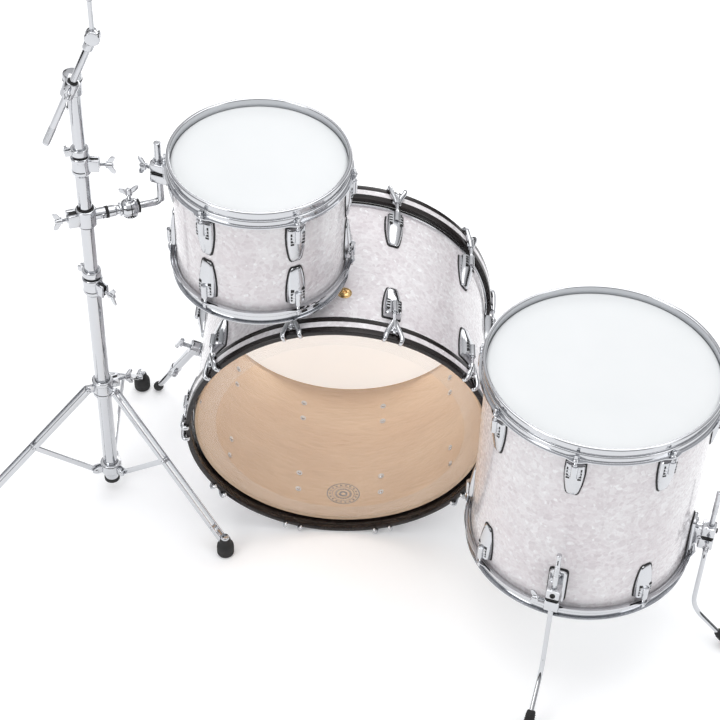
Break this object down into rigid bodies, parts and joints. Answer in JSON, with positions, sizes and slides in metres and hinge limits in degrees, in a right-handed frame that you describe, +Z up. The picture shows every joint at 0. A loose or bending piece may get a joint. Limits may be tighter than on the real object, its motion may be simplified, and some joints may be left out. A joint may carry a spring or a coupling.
{
  "type": "acoustic drum kit",
  "caption": "Acoustic drum kit in white pearl: bass drum on spurs, rack tom on a tripod boom stand and floor tom on legs, with chrome hardware.",
  "frame": {"origin": "middle of the footprint of the kit's bounding box, on the floor", "axes": "+Z up, the player sits on the -Y side and faces +Y, +X to the player's right, the longest side of the kit along X"},
  "size_m": [1.534, 0.916, 1.2273],
  "materials": {
    "white_pearl_wrap": "white marine pearl covering with pinkish grey shards, glossy, over a maple shell",
    "chrome": "polished chrome plating",
    "clear_head_film": "clear polyester film, the maple inside shows through",
    "coated_head_film": "smooth white polyester film, soft sheen",
    "black_lacquer": "black lacquer over maple with a pearl inlay stripe",
    "black_rubber": "matt moulded rubber"
  },
  "bodies": {
    "kit": {"bass_shell": "white_pearl_wrap", "bass_batter_head": "clear_head_film", "bass_front_head": "coated_head_film", "bass_batter_hoop": "black_lacquer", "bass_front_hoop": "black_lacquer", "spur_bracket_left": "chrome", "spur_bracket_right": "chrome", "floor_tom_shell": "white_pearl_wrap", "floor_tom_batter_head": "coated_head_film", "floor_tom_resonant_head": "coated_head_film", "floor_tom_batter_hoop": "chrome", "floor_tom_resonant_hoop": "chrome", "leg_bracket_1": "chrome", "leg_bracket_2": "chrome", "leg_bracket_3": "chrome", "stand_base_tube": "chrome"},
    "spur_left": {"spur_tube_left": "chrome"},
    "spur_left_leg": {"spur_rod_left": "chrome"},
    "spur_left_bolt": {"spur_bolt_left": "chrome"},
    "spur_right": {"spur_tube_right": "chrome"},
    "spur_right_leg": {"spur_rod_right": "chrome"},
    "spur_right_bolt": {"spur_bolt_right": "chrome"},
    "floor_leg_1": {"floor_leg_1": "chrome", "leg_foot_1": "black_rubber"},
    "leg_wing_bolt_1": {"leg_wing_bolt_1": "chrome"},
    "floor_leg_2": {"floor_leg_2": "chrome", "leg_foot_2": "black_rubber"},
    "leg_wing_bolt_2": {"leg_wing_bolt_2": "chrome"},
    "floor_leg_3": {"floor_leg_3": "chrome", "leg_foot_3": "black_rubber"},
    "leg_wing_bolt_3": {"leg_wing_bolt_3": "chrome"},
    "base_wing_bolt": {"base_wing_bolt": "chrome"},
    "tripod_collar": {"tripod_collar": "chrome"},
    "tripod_wing_bolt": {"tripod_wing_bolt": "chrome"},
    "stand_leg_1": {"stand_leg_1": "chrome"},
    "stand_leg_2": {"stand_leg_2": "chrome"},
    "stand_leg_3": {"stand_leg_3": "chrome"},
    "stand_strut_1": {"stand_strut_1": "chrome"},
    "stand_strut_2": {"stand_strut_2": "chrome"},
    "stand_strut_3": {"stand_strut_3": "chrome"},
    "middle_tube": {"stand_middle_tube": "chrome"},
    "middle_wing_bolt": {"middle_wing_bolt": "chrome"},
    "upper_tube": {"stand_upper_tube": "chrome"},
    "stand_clamp": {"stand_clamp": "chrome"},
    "clamp_wing_bolt": {"clamp_wing_bolt": "chrome"},
    "arm_receiver": {"arm_receiver": "chrome"},
    "receiver_wing_bolt": {"receiver_wing_bolt": "chrome"},
    "tom_arm_rod": {"tom_arm_rod": "chrome"},
    "rack_tom": {"tom_bracket": "chrome", "rack_tom_shell": "white_pearl_wrap", "rack_tom_batter_head": "coated_head_film", "rack_tom_resonant_head": "coated_head_film", "rack_tom_batter_hoop": "chrome", "rack_tom_resonant_hoop": "chrome"},
    "tom_wing_bolt": {"tom_wing_bolt": "chrome"},
    "boom_tilter": {"boom_tilter": "chrome"},
    "boom_holder": {"boom_holder": "chrome"},
    "boom_wing_bolt": {"boom_wing_bolt": "chrome"},
    "boom": {"boom_rod": "chrome"},
    "cymbal_tilter": {"cymbal_tilter": "chrome"}
  },
  "joints": [
    {"name": "spur_left_fold", "type": "hinge", "parent": "kit", "child": "spur_left", "pos_m": [-0.31779, 0.31578, 0.23635], "axis": [-0.9227, -0.0336, 0.384], "range_deg": [0, 85]},
    {"name": "spur_left_extend", "type": "slide", "parent": "spur_left", "child": "spur_left_leg", "axis": [-0.3583, 0.4422, -0.8223], "range_m": [-0.04, 0.04]},
    {"name": "spur_left_bolt_turn", "type": "hinge", "parent": "spur_left", "child": "spur_left_bolt", "pos_m": [-0.32794, 0.31541, 0.24058], "axis": [-0.9227, -0.0336, 0.384], "range_deg": [-180, 180]},
    {"name": "spur_right_fold", "type": "hinge", "parent": "kit", "child": "spur_right", "pos_m": [0.29537, 0.31578, 0.23635], "axis": [-0.9227, 0.0336, -0.384], "range_deg": [0, 85]},
    {"name": "spur_right_extend", "type": "slide", "parent": "spur_right", "child": "spur_right_leg", "axis": [0.3583, 0.4422, -0.8223], "range_m": [-0.04, 0.04]},
    {"name": "spur_right_bolt_turn", "type": "hinge", "parent": "spur_right", "child": "spur_right_bolt", "pos_m": [0.30552, 0.31541, 0.24058], "axis": [0.9227, -0.0336, 0.384], "range_deg": [-180, 180]},
    {"name": "floor_leg_1_height", "type": "slide", "parent": "kit", "child": "floor_leg_1", "axis": [0, 0, -1], "range_m": [-0.03, 0.06]},
    {"name": "leg_wing_bolt_1_turn", "type": "hinge", "parent": "kit", "child": "leg_wing_bolt_1", "pos_m": [0.36494, -0.361, 0.2816], "axis": [-0.9613, 0.2756, 0], "range_deg": [-180, 180]},
    {"name": "floor_leg_2_height", "type": "slide", "parent": "kit", "child": "floor_leg_2", "axis": [0, 0, -1], "range_m": [-0.03, 0.06]},
    {"name": "leg_wing_bolt_2_turn", "type": "hinge", "parent": "kit", "child": "leg_wing_bolt_2", "pos_m": [0.67002, -0.21362, 0.2816], "axis": [-0.2756, -0.9613, 0], "range_deg": [-180, 180]},
    {"name": "floor_leg_3_height", "type": "slide", "parent": "kit", "child": "floor_leg_3", "axis": [0, 0, -1], "range_m": [-0.03, 0.06]},
    {"name": "leg_wing_bolt_3_turn", "type": "hinge", "parent": "kit", "child": "leg_wing_bolt_3", "pos_m": [0.33958, 0.08095, 0.2816], "axis": [0.8746, 0.4848, 0], "range_deg": [-180, 180]},
    {"name": "base_wing_bolt_turn", "type": "hinge", "parent": "kit", "child": "base_wing_bolt", "pos_m": [-0.45193, 0.12018, 0.543], "axis": [0.766, -0.6428, 0], "range_deg": [-180, 180]},
    {"name": "tripod_fold", "type": "slide", "parent": "kit", "child": "tripod_collar", "axis": [0, 0, 1], "range_m": [0, 0.1014]},
    {"name": "tripod_wing_bolt_turn", "type": "hinge", "parent": "tripod_collar", "child": "tripod_wing_bolt", "pos_m": [-0.44803, 0.1563, 0.29], "axis": [0.9063, 0.4226, 0], "range_deg": [-180, 180]},
    {"name": "stand_leg_1_fold", "type": "hinge", "parent": "tripod_collar", "child": "stand_leg_1", "pos_m": [-0.452, 0.12387, 0.284], "axis": [0.5736, 0.8192, 0], "range_deg": [0, 39.04]},
    {"name": "stand_leg_2_fold", "type": "hinge", "parent": "tripod_collar", "child": "stand_leg_2", "pos_m": [-0.47542, 0.17411, 0.284], "axis": [-0.9962, 0.0872, 0], "range_deg": [0, 39.04]},
    {"name": "stand_leg_3_fold", "type": "hinge", "parent": "tripod_collar", "child": "stand_leg_3", "pos_m": [-0.50721, 0.1287, 0.284], "axis": [0.4226, -0.9063, 0], "range_deg": [0, 39.04]},
    {"name": "stand_strut_1_fold", "type": "hinge", "parent": "kit", "child": "stand_strut_1", "pos_m": [-0.452, 0.12387, 0.062], "axis": [-0.5736, -0.8192, 0], "range_deg": [0, 40.15]},
    {"name": "stand_strut_2_fold", "type": "hinge", "parent": "kit", "child": "stand_strut_2", "pos_m": [-0.47542, 0.17411, 0.062], "axis": [0.9962, -0.0872, 0], "range_deg": [0, 40.15]},
    {"name": "stand_strut_3_fold", "type": "hinge", "parent": "kit", "child": "stand_strut_3", "pos_m": [-0.50721, 0.1287, 0.062], "axis": [-0.4226, 0.9063, 0], "range_deg": [0, 40.15]},
    {"name": "middle_tube_height", "type": "slide", "parent": "kit", "child": "middle_tube", "axis": [0, 0, 1], "range_m": [0, 0.12]},
    {"name": "middle_wing_bolt_turn", "type": "hinge", "parent": "middle_tube", "child": "middle_wing_bolt", "pos_m": [-0.44551, 0.14223, 0.815], "axis": [1, 0, 0], "range_deg": [-180, 180]},
    {"name": "upper_tube_height", "type": "slide", "parent": "middle_tube", "child": "upper_tube", "axis": [0, 0, 1], "range_m": [-0.08, 0.1]},
    {"name": "clamp_swing", "type": "hinge", "parent": "middle_tube", "child": "stand_clamp", "pos_m": [-0.47821, 0.14223, 0.7], "axis": [0, 0, 1], "range_deg": [-30, 6]},
    {"name": "clamp_wing_bolt_turn", "type": "hinge", "parent": "stand_clamp", "child": "clamp_wing_bolt", "pos_m": [-0.50845, 0.12979, 0.7], "axis": [-0.9249, -0.3803, 0], "range_deg": [-180, 180]},
    {"name": "tom_tilt", "type": "hinge", "parent": "stand_clamp", "child": "arm_receiver", "pos_m": [-0.40374, 0.17285, 0.7], "axis": [0.9249, 0.3803, 0], "range_deg": [-12, 2]},
    {"name": "receiver_wing_bolt_turn", "type": "hinge", "parent": "arm_receiver", "child": "receiver_wing_bolt", "pos_m": [-0.40374, 0.17285, 0.718], "axis": [0, 0, 1], "range_deg": [-180, 180]},
    {"name": "arm_reach", "type": "slide", "parent": "arm_receiver", "child": "tom_arm_rod", "axis": [0.9249, 0.3803, 0], "range_m": [0, 0.01]},
    {"name": "tom_swivel", "type": "hinge", "parent": "tom_arm_rod", "child": "rack_tom", "pos_m": [-0.3501, 0.19173, 0.7727], "axis": [0, -0.0436, 0.999], "range_deg": [-12, 12]},
    {"name": "tom_wing_bolt_turn", "type": "hinge", "parent": "rack_tom", "child": "tom_wing_bolt", "pos_m": [-0.36208, 0.19562, 0.77287], "axis": [-0.9511, 0.3087, 0.0135], "range_deg": [-180, 180]},
    {"name": "boom_swivel", "type": "hinge", "parent": "upper_tube", "child": "boom_tilter", "pos_m": [-0.47821, 0.14223, 0.99], "axis": [0, 0, 1], "range_deg": [-170, 170]},
    {"name": "boom_tilt", "type": "hinge", "parent": "boom_tilter", "child": "boom_holder", "pos_m": [-0.47821, 0.11223, 0.99], "axis": [0, 1, 0], "range_deg": [-20, 60]},
    {"name": "boom_wing_bolt_turn", "type": "hinge", "parent": "boom_holder", "child": "boom_wing_bolt", "pos_m": [-0.47821, 0.10123, 0.99], "axis": [0, -1, 0], "range_deg": [-180, 180]},
    {"name": "boom_slide", "type": "slide", "parent": "boom_holder", "child": "boom", "axis": [0.4067, 0, 0.9135], "range_m": [-0.06, 0.1]},
    {"name": "cymbal_tilt", "type": "hinge", "parent": "boom", "child": "cymbal_tilter", "pos_m": [-0.43266, 0.11223, 1.09232], "axis": [0, -1, 0], "range_deg": [-60, 60]}
  ],
  "couplings": [
    {"joint": "stand_leg_1_fold", "follows": "tripod_fold", "rad_per_m": 6.633},
    {"joint": "stand_leg_2_fold", "follows": "tripod_fold", "rad_per_m": 6.633},
    {"joint": "stand_leg_3_fold", "follows": "tripod_fold", "rad_per_m": 6.633},
    {"joint": "stand_strut_1_fold", "follows": "tripod_fold", "rad_per_m": 6.8255},
    {"joint": "stand_strut_2_fold", "follows": "tripod_fold", "rad_per_m": 6.8255},
    {"joint": "stand_strut_3_fold", "follows": "tripod_fold", "rad_per_m": 6.8255}
  ]
}
